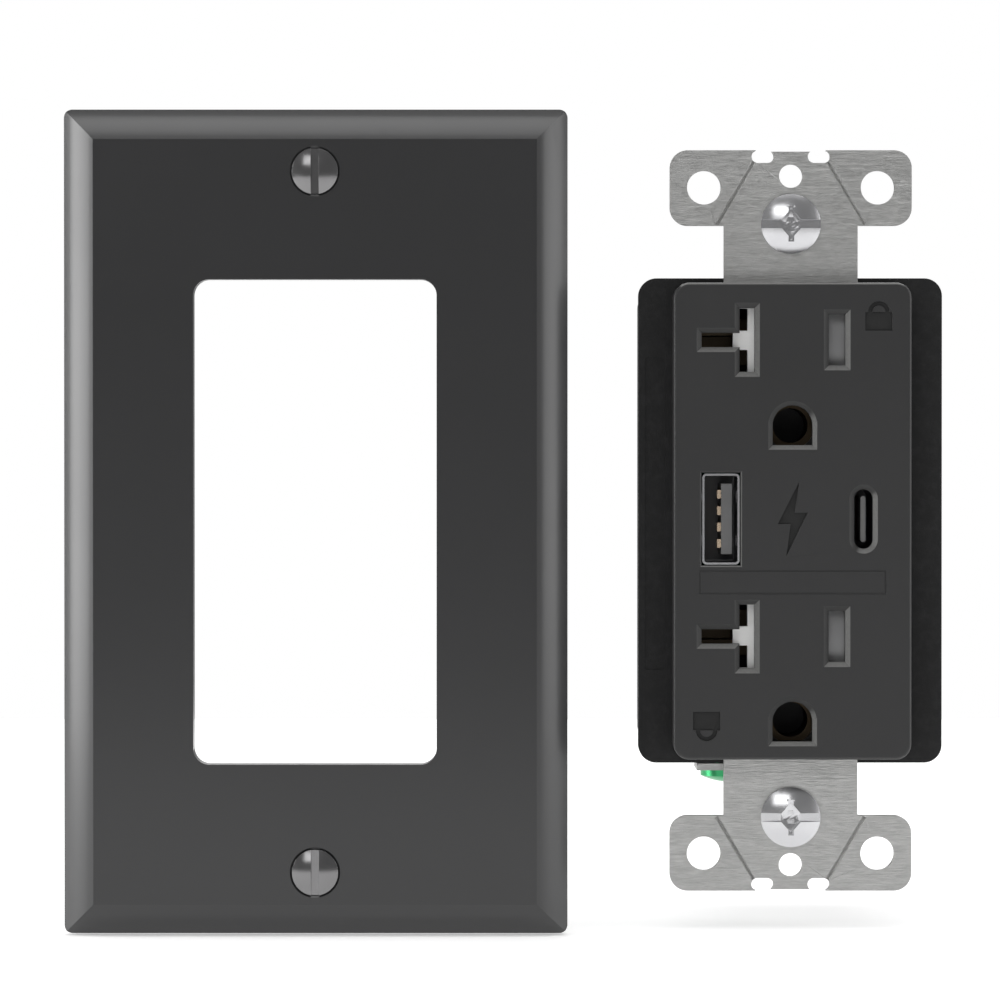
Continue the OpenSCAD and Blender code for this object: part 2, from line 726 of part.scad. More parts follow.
module port_a_shell() {
    t = 0.28;
    front = -face_depth + 0.45;
    color("#cfcfcf") translate([-port_a_x, 0, port_z]) difference() {
        slab(front, port_board_front) rounded(port_a_w, port_a_h, 0.6);
        slab(front - over, port_board_front - t) rounded(port_a_w - 2 * t, port_a_h - 2 * t, 0.35);
        for (s = [-1, 1], z = [-1, 1]) translate([s * port_a_w / 2, 0, z * 3.1])
            block([-over / 2, front + 2.2, -0.75], [over / 2, front + 6, 0.75]);
    }
}

module port_a_tongue() {
    color("#6b6b68") translate([-port_a_x, 0, port_z]) {
        block([0.1, -face_depth + 2.1, -4.95], [1.6, 5.6, 4.95]);
        block([-port_a_w / 2 + 0.4, 5.5, -port_a_h / 2 + 0.4], [port_a_w / 2 - 0.4, 7.3, port_a_h / 2 - 0.4]);
    }
}

module port_a_contacts() {
    color("#d9a441") for (i = [0:3]) translate([-port_a_x, 0, port_z + 3.45 - 2.3 * i]) {
        block([-0.45, -face_depth + 2.5, -0.6], [0.1, -face_depth + 6.5, 0.6]);
        block([-0.15, -face_depth + 6.5, -0.6], [0.1, 5.5, 0.6]);
    }
}

module port_c_shell() {
    t = 0.28;
    front = face_inner + 0.05;
    color("#3f3f40") translate([port_c_x, 0, port_z]) difference() {
        slab(front, port_board_front) upright_slot(port_c_w + 2 * t, port_c_h + 2 * t);
        slab(front - over, port_board_front - t) upright_slot(port_c_w, port_c_h);
    }
}

module port_c_tongue() {
    color("#777775") translate([port_c_x, 0, port_z]) {
        slab(-face_depth + 1.6, port_board_front - 1.6) rounded(0.7, 6.4, 0.3);
        slab(port_board_front - 2.4, port_board_front - 0.28) upright_slot(port_c_w - 0.1, port_c_h - 0.1);
    }
}

module port_board() {
    half_w = 13.2;
    color("#1f5a35") difference() {
        slab(port_board_front, port_board_front + board_t) square([2 * half_w, 2 * divider_z - 0.4], center = true);
        for (i = [-2:2]) rod_y(2.0 * i, -6.9, 0, 20, 0.4);
    }
}

module board_header() {
    color("#161616") difference() {
        block([-5.1, port_board_front + board_t, -8.1], [5.1, power_board_front, -5.7]);
        for (i = [-2:2]) rod_y(2.0 * i, -6.9, 0, 20, 0.36);
    }
    color("#d9a441") for (i = [-2:2])
        rod_y(2.0 * i, -6.9, port_board_front - 0.8, power_board_back + 1.0, 0.34);
}

module power_board() {
    color("#1f5a35") difference() {
        slab(power_board_front, power_board_back)
            square([2 * power_board_half_w, 2 * power_board_half_h], center = true);
        for (row = rows, s = [-1, 1])
            rod_y(s * post_x, ground_z(row), 0, power_board_back + over, post_r + 0.2);
        for (s = [-1, 1]) block([s * (rail_x + rail_t / 2) - rail_t / 2 - 0.1, 0, -lead_half - 0.1],
            [s * (rail_x + rail_t / 2) + rail_t / 2 + 0.1, power_board_back + over, lead_half + 0.1]);
        for (i = [-2:2]) rod_y(2.0 * i, -6.9, 0, 20, 0.4);
    }
}

// Flat leads from the bus bars through the power board
module mains_leads() {
    color("#c9a050") for (s = [-1, 1])
        block([s * (rail_x + rail_t / 2) - rail_t / 2, carrier_back, -lead_half],
            [s * (rail_x + rail_t / 2) + rail_t / 2, power_board_back + 1.2, lead_half]);
}

// Ferrite core: two end legs and a middle leg between two yokes
module transformer_core() {
    color("#4a4a4c") translate([0, power_board_back, 20]) difference() {
        block([-8.5, 0.8, -5], [8.5, 14.8, 5]);
        for (s = [-1, 1]) block([s * 4.9 - 1.9, 2.8, -5 - over], [s * 4.9 + 1.9, 12.8, 5 + over]);
    }
}

module transformer_winding() {
    color("#e0b830") translate([0, power_board_back, 20]) difference() {
        union() {
            block([-6.6, 3.2, -8.2], [6.6, 12.4, 8.2]);
            block([-6.6, 0, 5.6], [6.6, 3.3, 8.2]);
            block([-6.6, 0, -8.2], [6.6, 3.3, -5.6]);
        }
        block([-3.1, 2.5, -5.1], [3.1, 13, 5.1]);
    }
}

module mains_capacitor() {
    color("#23324f") rod_y(8.6, -3, power_board_back, power_board_back + 15, 5);
}

module output_capacitors() {
    color("#20262b") for (i = [0:1])
        rod_y(-8 + 9 * i, -19, power_board_back, power_board_back + 11, 3.9);
}

module choke() {
    color("#7d5426") translate([-9.5, power_board_back + 5, 1.5]) rotate([0, 90, 0]) difference() {
        cylinder(h = 5, r = 5, center = true);
        cylinder(h = 5 + 2 * over, r = 2, center = true);
    }
}

module fuse() {
    color("#c8b48a") rod_y(-1.5, 6.5, power_board_back, power_board_back + 7, 1.9);
}

module rectifier() {
    color("#19191a") block([-4.6, power_board_back, -6.2], [-0.4, power_board_back + 2.4, -1.2]);
}

module control_chips() {
    color("#19191a") {
        block([5.5, power_board_back, -18], [9.5, power_board_back + 1.6, -12]);
        block([-4, power_board_back, -13.5], [0.5, power_board_back + 1.4, -9.5]);
        block([8, port_board_front - 1, 5.8], [11.4, port_board_front, 8.4]);
    }
}

// A side terminal's clamp plate, just off the bus bar
module terminal_clamp(side, end) {
    near = rail_x + rail_t + clamp_gap;
    color("#b4b4b0") difference() {
        block([side > 0 ? near : -near - clamp_t, terminal_y - clamp_half, end * bay_z - clamp_half],
            [side > 0 ? near + clamp_t : -near, terminal_y + clamp_half, end * bay_z + clamp_half]);
        rod_x(terminal_y, end * bay_z, side * (near + clamp_t / 2) - over,
            side * (near + clamp_t / 2) + over, terminal_r + 0.05);
    }
}

// A side terminal's screw, its head on the clamp plate
module terminal_screw(side, end, tint) {
    seat = rail_x + rail_t + clamp_gap + clamp_t;
    color(tint) translate([side * seat, terminal_y, end * bay_z])
        rotate([0, side * 90, 0]) slotted_screw(terminal_head_r, terminal_head_h, terminal_r, 5.6);
}

// A round-head screw along +Z with a cross slot, its seat at z = 0 and its thread below
module slotted_screw(head_r, head_h, thread_r, reach) {
    rise = head_h * 0.5;
    ball = (head_r * head_r + rise * rise) / (2 * rise);
    difference() {
        union() {
            intersection() {
                translate([0, 0, head_h - ball]) sphere(ball);
                cylinder(h = head_h + over, r = head_r);
            }
            translate([0, 0, -reach]) cylinder(h = reach + 0.2, r = thread_r);
        }
        translate([0, 0, head_h]) {
            cube([2 * head_r + over, 1.1, 1.6], center = true);
            cube([0.8, 4.4, 2.2], center = true);
        }
    }
}

module ground_screw() {
    color("#3cb45f") translate([ground_screw_x, ground_screw_y, tab_top - tab_t - seat_gap])
        rotate([180, 0, 0]) slotted_screw(terminal_head_r, 1.85, terminal_r, 4.6);
}

module assembly_screws() {
    color("#a8a8a6") for (row = rows, s = [-1, 1]) translate([s * post_x, 0, ground_z(row)]) difference() {
        union() {
            rod_y(0, 0, face_inner + 0.3, body_depth - 1.3, assembly_r);
            rod_y(0, 0, body_depth - 1.4, body_depth - 0.2, 2.2);
        }
        for (a = [0, 90]) rotate([0, a, 0])
            block([-1.5, body_depth - 0.9, -0.3], [1.5, body_depth + over, 0.3]);
    }
}

wall_plate();
plate_screws();
front_cover();
back_body();
strap();
box_screw(box_pitch / 2);  // upper_box_screw
box_screw(-box_pitch / 2);  // lower_box_screw
retaining_washers();
shutter_slider(upper_row_z);  // upper_shutter
shutter_slider(lower_row_z);  // lower_shutter
shutter_ramp(upper_row_z);  // upper_ramp
shutter_ramp(lower_row_z);  // lower_ramp
shutter_spring(upper_row_z);  // upper_shutter_spring
shutter_spring(lower_row_z);  // lower_shutter_spring
shutter_guides();
neutral_bus();
hot_bus();
ground_strip();
ground_rivets();
contact_carrier();
port_a_shell();
port_a_tongue();
port_a_contacts();
port_c_shell();
port_c_tongue();
port_board();
board_header();
power_board();
mains_leads();
transformer_core();
transformer_winding();
mains_capacitor();
output_capacitors();
choke();
fuse();
rectifier();
control_chips();
terminal_screw(1, 1, "#b8923c");  // upper_hot_screw
terminal_clamp(1, 1);  // upper_hot_clamp
terminal_screw(1, -1, "#b8923c");  // lower_hot_screw
terminal_clamp(1, -1);  // lower_hot_clamp
terminal_screw(-1, 1, "#c8c8c4");  // upper_neutral_screw
terminal_clamp(-1, 1);  // upper_neutral_clamp
terminal_screw(-1, -1, "#c8c8c4");  // lower_neutral_screw
terminal_clamp(-1, -1);  // lower_neutral_clamp
ground_screw();
assembly_screws();
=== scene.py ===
"""Looks of a duplex wall outlet with charging ports and its decorator wall plate.

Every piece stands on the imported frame, in metres: +X right, +Y into the wall, +Z up.
"""

import json
import math

import bmesh
import bpy
from bpy.props import FloatProperty, FloatVectorProperty, PointerProperty
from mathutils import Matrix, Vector

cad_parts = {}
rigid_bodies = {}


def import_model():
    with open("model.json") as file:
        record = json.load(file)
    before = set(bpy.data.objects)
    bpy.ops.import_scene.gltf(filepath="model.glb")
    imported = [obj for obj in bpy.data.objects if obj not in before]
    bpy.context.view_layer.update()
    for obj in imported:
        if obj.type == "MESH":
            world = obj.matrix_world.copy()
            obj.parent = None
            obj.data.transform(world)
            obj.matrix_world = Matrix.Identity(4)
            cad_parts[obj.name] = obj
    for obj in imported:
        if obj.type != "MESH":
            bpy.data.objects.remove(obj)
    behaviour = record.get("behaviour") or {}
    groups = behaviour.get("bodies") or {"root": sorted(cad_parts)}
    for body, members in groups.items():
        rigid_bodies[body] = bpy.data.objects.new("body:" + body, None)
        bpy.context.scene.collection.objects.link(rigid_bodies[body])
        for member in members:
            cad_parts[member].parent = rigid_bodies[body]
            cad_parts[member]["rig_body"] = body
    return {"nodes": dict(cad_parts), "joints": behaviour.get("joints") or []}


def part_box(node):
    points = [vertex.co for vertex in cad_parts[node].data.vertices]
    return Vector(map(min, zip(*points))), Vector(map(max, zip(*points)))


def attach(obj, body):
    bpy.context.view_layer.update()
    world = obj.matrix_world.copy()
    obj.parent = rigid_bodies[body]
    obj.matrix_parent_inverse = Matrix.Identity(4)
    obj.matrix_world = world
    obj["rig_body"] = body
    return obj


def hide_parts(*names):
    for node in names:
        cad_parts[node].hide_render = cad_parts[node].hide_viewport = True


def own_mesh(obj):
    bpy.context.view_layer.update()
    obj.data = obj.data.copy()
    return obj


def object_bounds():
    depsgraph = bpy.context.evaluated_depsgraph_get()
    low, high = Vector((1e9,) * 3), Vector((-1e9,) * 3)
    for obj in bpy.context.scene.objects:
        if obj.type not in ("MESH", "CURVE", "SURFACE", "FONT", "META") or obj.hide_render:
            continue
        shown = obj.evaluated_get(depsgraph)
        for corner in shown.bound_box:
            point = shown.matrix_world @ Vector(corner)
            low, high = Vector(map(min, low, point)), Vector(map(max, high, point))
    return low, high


bl_info = {
    "name": "Duplex wall outlet",
    "version": (1, 0, 0),
    "blender": (4, 5, 0),
    "location": "View3D > Sidebar > Outlet",
    "description": "Builds the looks of a duplex wall outlet and its wall plate",
    "category": "Object",
}

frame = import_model()
CAD_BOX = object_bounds()
NODES = frame["nodes"]
MM = 0.001

# Screws, in millimetres: all four have 32 turns to the inch
THREAD_PITCH = 0.794
BOX_THREAD_R, BOX_CORE_R = 1.75, 1.38
BOX_NECK_END = 0.8  # how far behind the strap's back the smooth neck reaches
PLATE_THREAD_R, PLATE_CORE_R = 1.55, 1.2
PLATE_HEAD_R = 3.2
PLATE_HEAD_LENGTH = 2.2
THREAD_OVERLAP = 0.02  # by which a head runs on over the start of its thread

COVERED_HALF = 33.2  # half height of the strap's stretch that the cover hides, painted dark as shade, mm
MARK_FLOOR = (0.24, 0.33)  # depth of the marks' floor behind the face, mm
VIEW_CENTRE = Vector((-0.04085, 0.0, 0.0029))  # the point that the camera looks at, m


# ---------------------------------------------------------------- shader expressions


class Value:
    """A socket that takes part in arithmetic: each operation adds its Math node."""

    def __init__(self, finish, socket):
        self.finish = finish
        self.socket = socket

    def maths(self, operation, *values):
        inputs = dict(enumerate(values))
        return self.finish.node("ShaderNodeMath", {"operation": operation}, inputs)

    def __add__(self, other):
        return self.maths("ADD", self, other)

    def __radd__(self, other):
        return self.maths("ADD", other, self)

    def __sub__(self, other):
        return self.maths("SUBTRACT", self, other)

    def __rsub__(self, other):
        return self.maths("SUBTRACT", other, self)

    def __mul__(self, other):
        return self.maths("MULTIPLY", self, other)

    def __rmul__(self, other):
        return self.maths("MULTIPLY", other, self)

    def __truediv__(self, other):
        return self.maths("DIVIDE", self, other)

    def __rtruediv__(self, other):
        return self.maths("DIVIDE", other, self)

    def __neg__(self):
        return self.maths("MULTIPLY", self, -1.0)

    def __abs__(self):
        return self.maths("ABSOLUTE", self)

    def sine(self):
        return self.maths("SINE", self)

    def above(self, edge, soft):
        """0 below edge, 1 past edge + soft, smooth between them."""
        return self.finish.node(
            "ShaderNodeMapRange",
            {"interpolation_type": "SMOOTHSTEP", "clamp": True},
            {0: self, 1: edge, 2: edge + soft, 3: 0.0, 4: 1.0},
        )


class Finish:
    """One material, built node by node round a Principled shader."""

    def __init__(self, name, roughness=0.5, metallic=0.0, **fixed):
        self.material = bpy.data.materials.new(name)
        self.material.use_nodes = True
        self.tree = self.material.node_tree
        self.shader = self.tree.nodes["Principled BSDF"]
        self.shader.inputs["Roughness"].default_value = roughness
        self.shader.inputs["Metallic"].default_value = metallic
        for socket, number in fixed.items():
            self.shader.inputs[socket.replace("_", " ")].default_value = number
        self.place = self.node("ShaderNodeTexCoord", {}, {}, "Object")

    def node(self, kind, settings, inputs, output=0):
        """Adds a node: its settings first, then the values or links of its sockets."""
        made = self.tree.nodes.new(kind)
        for key, setting in settings.items():
            setattr(made, key, setting)
        for key, value in inputs.items():
            if isinstance(value, Value):
                self.tree.links.new(value.socket, made.inputs[key])
            else:
                made.inputs[key].default_value = value
        return Value(self, made.outputs[output])

    def noise(self, per_mm, detail=3.0, roughness=0.55, stretch=(1.0, 1.0, 1.0), warp=0.0):
        """Noise of a stated number of cells per millimetre, thinned along each axis by stretch."""
        where = self.node(
            "ShaderNodeVectorMath", {"operation": "MULTIPLY"}, {0: self.place, 1: stretch}
        )
        return self.node(
            "ShaderNodeTexNoise",
            {},
            {"Vector": where, "Scale": per_mm / MM, "Detail": detail,
             "Roughness": roughness, "Distortion": warp},
        )

    def cells(self, per_mm, distance="EUCLIDEAN"):
        """Distance to the nearest of scattered points, so many of them per millimetre."""
        return self.node(
            "ShaderNodeTexVoronoi", {"distance": distance},
            {"Vector": self.place, "Scale": per_mm / MM}, "Distance",
        )

    def scuffs(self):
        """Faint upright scuffs: 1 on a scuff, 0 elsewhere."""
        rubs = self.noise(0.5, detail=6.0, roughness=0.7, stretch=(1.0, 1.0, 0.12), warp=0.4)
        return rubs.above(0.63, 0.12)

    def axis(self, letter, vector=None):
        """One coordinate of a place, or of another vector."""
        return self.node("ShaderNodeSeparateXYZ", {}, {0: vector or self.place}, letter)

    def mix(self, share, first, second):
        """Colour mix; first and second are colours or colour sockets."""
        def rgba(colour):
            return colour if isinstance(colour, Value) else (*colour, 1.0)

        inputs = {0: share, 6: rgba(first), 7: rgba(second)}
        return self.node("ShaderNodeMix", {"data_type": "RGBA"}, inputs, 2)

    def colour(self, value):
        self.feed("Base Color", value)

    def feed(self, socket, value):
        self.tree.links.new(value.socket, self.shader.inputs[socket])

    def bump(self, height, depth_mm):
        """Feeds a bump of the stated depth; several bumps chain through the last one."""
        inputs = {"Height": height, "Distance": depth_mm * MM, "Strength": 1.0}
        if self.shader.inputs["Normal"].is_linked:
            last = self.shader.inputs["Normal"].links[0].from_socket
            inputs["Normal"] = Value(self, last)
        self.feed("Normal", self.node("ShaderNodeBump", {}, inputs))


def tinted(colour, gain, lift=0.0):
    """The same colour, brighter or darker."""
    return [channel * gain + lift for channel in colour]


def plastic(name, base, dusty, roughness, grain_per_mm, depth_mm):
    """Moulded plastic: fine grain, slow colour drift, faint scuffs that catch the light."""
    finish = Finish(name, roughness)
    drift = finish.noise(0.06)
    grain = finish.noise(grain_per_mm, detail=4.0, roughness=0.65)
    scuff = finish.scuffs()
    finish.colour(finish.mix(drift * 0.5 + scuff * 0.18, base, dusty))
    finish.feed("Roughness", roughness - 0.05 + drift * 0.06 + grain * 0.05 + scuff * 0.08)
    finish.bump(grain, depth_mm)
    return finish.material


def plated(name, base, tint, roughness, grain_per_mm=1.4, depth_mm=0.004, stretch=(1.0, 1.0, 1.0)):
    """Plated or bare metal: brush grain, broad streaks and patchy tarnish."""
    finish = Finish(name, roughness, metallic=1.0)
    brush = finish.noise(grain_per_mm, detail=5.0, roughness=0.7, stretch=stretch)
    patch = finish.noise(0.12, detail=4.0, roughness=0.6)
    streak = finish.noise(grain_per_mm * 0.35, roughness=0.6, stretch=stretch)
    finish.colour(finish.mix(patch * 0.5 + streak * 0.5, base, tint))
    finish.feed("Roughness", roughness - 0.06 + brush * 0.12 + patch * 0.06)
    finish.bump(brush, depth_mm)
    return finish.material


def strap_steel(name, light, dark, roughness):
    """Galvanised strip, brushed across, with fine scratches and a soft spangle.

    Its stretch under the cover gets painted shade, near black as it looks through the narrow
    openings.
    """
    finish = Finish(name, roughness, metallic=1.0)
    fine = finish.noise(6.5, 4.0, 0.7, stretch=(0.1, 1.0, 1.0), warp=0.15).above(0.3, 0.42)
    broad = finish.noise(2.2, 4.0, 0.65, stretch=(0.16, 1.0, 1.0), warp=0.3).above(0.3, 0.42)
    scratch = finish.noise(2.6, 2.0, 0.5, stretch=(0.05, 1.0, 1.0), warp=0.2).above(0.60, 0.05)
    cloud = finish.noise(0.09)
    spangle = finish.cells(0.35)
    grain_tone = fine * 0.38 + broad * 0.34 + cloud * 0.22 + spangle * 0.06
    # Painted shade: the stretch under the cover is coloured near black.
    painted_shade = 1.0 - (abs(finish.axis("Z")) / MM).above(COVERED_HALF, 0.2)
    bright = finish.mix(grain_tone, dark, light)
    finish.colour(finish.mix(painted_shade * 0.93, bright, (0.02, 0.02, 0.02)))
    finish.feed("Roughness", roughness - 0.08 + fine * 0.12 + cloud * 0.08 + scratch * 0.1)
    finish.bump(fine * 0.6 + broad * 0.4, 0.02)
    finish.bump(scratch, 0.012)
    return finish.material


def housing_black(name, base, dusty):
    """Black thermoset: mottled, matt, with flow marks and a fine spark texture."""
    finish = Finish(name, 0.55, Specular_IOR_Level=0.32)
    mottle = finish.noise(0.55, detail=5.0, roughness=0.7)
    flow = finish.noise(0.08, roughness=0.5, stretch=(1.0, 1.0, 0.3), warp=1.2)
    spark = finish.noise(4.5, roughness=0.7)
    finish.colour(finish.mix(mottle.above(0.38, 0.4) * 0.7 + flow * 0.3, base, dusty))
    finish.feed("Roughness", 0.46 + mottle * 0.16 + spark * 0.08)
    finish.bump(spark, 0.02)
    finish.bump(mottle, 0.03)
    return finish.material


def board_green(name):
    """Solder mask over copper tracks on a glass-fibre board."""
    finish = Finish(name, 0.35, Coat_Weight=0.3)
    track = finish.cells(0.45, "CHEBYCHEV").above(0.42, 0.03)
    weave = finish.noise(2.5, detail=2.0, roughness=0.5, stretch=(1.0, 1.0, 0.2))
    base = finish.mix(weave * 0.5, (0.008, 0.075, 0.03), (0.014, 0.11, 0.045))
    finish.colour(finish.mix(track * 0.8, base, (0.02, 0.2, 0.08)))
    finish.feed("Roughness", 0.3 + weave * 0.15)
    finish.bump(track, 0.03)
    return finish.material


def wound(name, base, dark, turns_per_mm, roughness=0.35, metallic=0.0):
    """Tape or wire wound in close turns, one above the other."""
    finish = Finish(name, roughness, metallic)
    turned = finish.axis("Z") * (turns_per_mm * 2.0 * math.pi / MM)
    ridge = turned.sine() * 0.5 + 0.5
    stain = finish.noise(0.4)
    finish.colour(finish.mix(ridge * 0.5 + stain * 0.4, dark, base))
    finish.feed("Roughness", roughness + stain * 0.15)
    finish.bump(ridge, 0.06)
    return finish.material


# ---------------------------------------------------------------- mesh helpers


def new_piece(name, mesh, material, node):
    """Puts a mesh in the scene, with a finish, on the body of a CAD node."""
    piece = bpy.data.objects.new(name, mesh)
    bpy.context.scene.collection.objects.link(piece)
    mesh.materials.append(material)
    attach(piece, NODES[node]["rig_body"])
    return piece


def piece_name(node):
    return node.replace("_", " ").title().replace(" ", "")


def refined(node, material, edge_mm=0.08, degrees=30.0, segments=2, front_of=None):
    """A finished copy of a CAD node: welded, smooth on its rounds, with softened edges.

    With front_of, only what lies in front of that place along Y is kept, and capped.
    """
    mesh = NODES[node].data.copy()
    mesh.materials.clear()
    form = bmesh.new()
    form.from_mesh(mesh)
    bmesh.ops.remove_doubles(form, verts=form.verts, dist=0.002 * MM)
    bmesh.ops.dissolve_degenerate(form, edges=form.edges, dist=0.001 * MM)
    if front_of is not None:
        cut = bmesh.ops.bisect_plane(
            form, geom=form.verts[:] + form.edges[:] + form.faces[:],
            plane_co=(0, front_of, 0), plane_no=(0, 1, 0), clear_outer=True,
        )
        rim = [part for part in cut["geom_cut"] if isinstance(part, bmesh.types.BMEdge)]
        bmesh.ops.holes_fill(form, edges=rim, sides=0)
    bmesh.ops.recalc_face_normals(form, faces=form.faces)
    limit = math.radians(degrees)
    for face in form.faces:
        face.smooth = True
    for edge in form.edges:
        edge.smooth = not (edge.is_manifold and edge.calc_face_angle(0.0) > limit)
    form.to_mesh(mesh)
    form.free()
    for key in ("custom_normal", "sharp_face"):
        if key in mesh.attributes:
            mesh.attributes.remove(mesh.attributes[key])
    piece = new_piece(piece_name(node), mesh, material, node)
    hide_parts(node)
    if edge_mm:
        soften(piece, edge_mm, degrees, segments)
    return piece


def soften(piece, edge_mm, degrees, segments):
    """Rounds the sharp edges of a piece and leaves its broad faces flat in shading."""
    bevel = piece.modifiers.new("soft edge", "BEVEL")
    bevel.width = edge_mm * MM
    bevel.segments = segments
    bevel.limit_method = "ANGLE"
    bevel.angle_limit = math.radians(degrees)
    bevel.miter_outer = "MITER_ARC"
    bevel.use_clamp_overlap = True
    bevel.loop_slide = True
    normals = piece.modifiers.new("flat faces", "WEIGHTED_NORMAL")
    normals.keep_sharp = True
    normals.weight = 60


def screw_thread(form, centre, start, end, major, minor):
    """Adds a threaded rod along Y whose thread runs out into the core at both ends."""
    steps, rows_a_turn = 28, 8
    steepness, crest = 2.6, 0.8
    pitch = THREAD_PITCH * MM
    count = max(4, round((end - start) / pitch * rows_a_turn))
    rings = []
    for row in range(count + 1):
        y = start + (end - start) * row / count
        run_out = max(0.0, min(1.0, (y - start) / pitch, (end - y) / (pitch * 1.5)))
        ring = []
        for step in range(steps):
            turn = step / steps
            phase = ((y - start) / pitch - turn) % 1.0
            ridge = 1.0 - min(1.0, abs(phase - 0.5) * steepness)
            radius = minor + (major - minor) * ridge ** crest * run_out
            angle = 2 * math.pi * turn
            ring.append(form.verts.new((
                centre[0] + radius * math.cos(angle), y, centre[1] + radius * math.sin(angle)
            )))
        rings.append(ring)
    for first, second in zip(rings, rings[1:]):
        for step in range(steps):
            after = (step + 1) % steps
            form.faces.new((first[step], first[after], second[after], second[step]))
    form.faces.new(rings[0])
    form.faces.new(list(reversed(rings[-1])))


def smooth_mesh(form, name):
    """Turns a form into a mesh with smooth faces that all look outwards."""
    bmesh.ops.recalc_face_normals(form, faces=form.faces)
    for face in form.faces:
        face.smooth = True
    mesh = bpy.data.meshes.new(name)
    form.to_mesh(mesh)
    form.free()
    return mesh


def threaded_screws(node, metal, head_end, centres, thread_r, core_r, edge_mm, segments):
    """Keeps the heads of a screw node and gives them threaded shanks, a piece of their own."""
    refined(node, metal, edge_mm, 28.0, segments, front_of=head_end + THREAD_OVERLAP * MM)
    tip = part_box(node)[1].y
    form = bmesh.new()
    for centre in centres:
        screw_thread(form, centre, head_end, tip, thread_r * MM, core_r * MM)
    new_piece(piece_name(node) + "Thread", smooth_mesh(form, node + " thread"), metal, node)


# ---------------------------------------------------------------- sizes and colours


def colour_choice(name, description, default):
    return FloatVectorProperty(
        name=name, description=description, default=default,
        subtype="COLOR", size=3, min=0.0, max=1.0,
    )


def light_power(name, description, default):
    return FloatProperty(
        name=name, description=description, default=default, min=0.0, unit="POWER"
    )


class OutletFinishes(bpy.types.PropertyGroup):
    """Colours of the pieces and the roundness of their edges"""

    plate: colour_choice("Plate", "Moulded colour of the plate", (0.017, 0.017, 0.0178))
    face: colour_choice("Face", "Moulded colour of the cover", (0.017, 0.017, 0.0174))
    housing: colour_choice("Housing", "Colour of the rear housing", (0.0025, 0.0025, 0.0028))
    strap: colour_choice("Strap", "Bright tone of the galvanised strap", (0.58, 0.58, 0.57))
    # The contacts' tone is darkened far below brass as painted shade, for how they look deep in
    # the slots.
    brass: colour_choice("Brass", "Tone of the contacts", (0.15, 0.12, 0.085))
    nylon: colour_choice("Nylon", "Tone of the contact carrier", (0.018, 0.018, 0.019))
    shutter: colour_choice("Shutter", "Tone of the safety shutters", (0.95, 0.95, 0.94))
    ground: colour_choice("Ground screw", "Green of the grounding screw", (0.03, 0.36, 0.12))
    edge: FloatProperty(
        name="Soft edge", description="Radius of moulded edges, in millimetres",
        default=0.12, min=0.02, max=0.4,
    )


class OutletStage(bpy.types.PropertyGroup):
    """Camera, lights and room"""

    distance: FloatProperty(
        name="Camera distance", description="Camera to strap", default=0.72,
        min=0.2, max=3.0, subtype="DISTANCE", unit="LENGTH",
    )
    field: FloatProperty(
        name="Field", description="Width seen at the strap", default=0.1408,
        min=0.05, max=1.0, subtype="DISTANCE", unit="LENGTH",
    )
    elevation: FloatProperty(
        name="Elevation", description="Camera height above level",
        default=math.radians(0.6), subtype="ANGLE", unit="ROTATION",
    )
    left: light_power("Left light", "Power of the left light", 9.6)
    right: light_power("Right light", "Power of the right light", 4.0)
    top: light_power("Top light", "Power of the top light", 3.9)
    front: light_power("Front light", "Power of the front light", 1.7)
    back: light_power("Back light", "Power of the back light", 4.0)
    ambient: FloatProperty(
        name="Ambient", description="Strength of the room's light", default=0.24, min=0.0
    )


# ---------------------------------------------------------------- pieces


class OUTLET_OT_wall_plate(bpy.types.Operator):
    """Decorator wall plate with its bevelled outline and its window"""

    bl_idname = "outlet.wall_plate"
    bl_label = "Wall plate"

    def execute(self, context):
        tone = context.scene.outlet_finishes.plate
        finish = Finish("plate gloss", 0.3, Coat_Roughness=0.16, IOR=1.5)
        drift = finish.noise(0.045)
        peel = finish.noise(0.9, detail=2.0, roughness=0.45)
        grain = finish.noise(6.0, detail=2.0, roughness=0.5)
        wipe = finish.noise(0.35, 5.0, 0.7, stretch=(1.0, 1.0, 0.15), warp=0.5).above(0.62, 0.15)
        finish.colour(finish.mix(drift * 0.6 + wipe * 0.08, tone, tinted(tone, 1.22)))
        finish.feed("Roughness", 0.27 + drift * 0.05 + wipe * 0.06)
        finish.feed("Coat Weight", 0.45 - drift * 0.15 - wipe * 0.15)
        finish.bump(peel, 0.006)
        finish.bump(grain, 0.002)
        refined("wall_plate", finish.material, 0.3, 25.0, 4)
        return {"FINISHED"}


class OUTLET_OT_plate_screws(bpy.types.Operator):
    """Oval-head slotted screws that hold the wall plate"""

    bl_idname = "outlet.plate_screws"
    bl_label = "Plate screws"

    def execute(self, context):
        nickel = plated(
            "black nickel", (0.26, 0.26, 0.265), (0.20, 0.195, 0.195), 0.17, 1.2, 0.002
        )
        low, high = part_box("plate_screws")
        middle = (low.x + high.x) / 2
        centres = [(middle, low.z + PLATE_HEAD_R * MM), (middle, high.z - PLATE_HEAD_R * MM)]
        threaded_screws("plate_screws", nickel, low.y + PLATE_HEAD_LENGTH * MM, centres,
                        PLATE_THREAD_R, PLATE_CORE_R, edge_mm=0.07, segments=3)
        return {"FINISHED"}


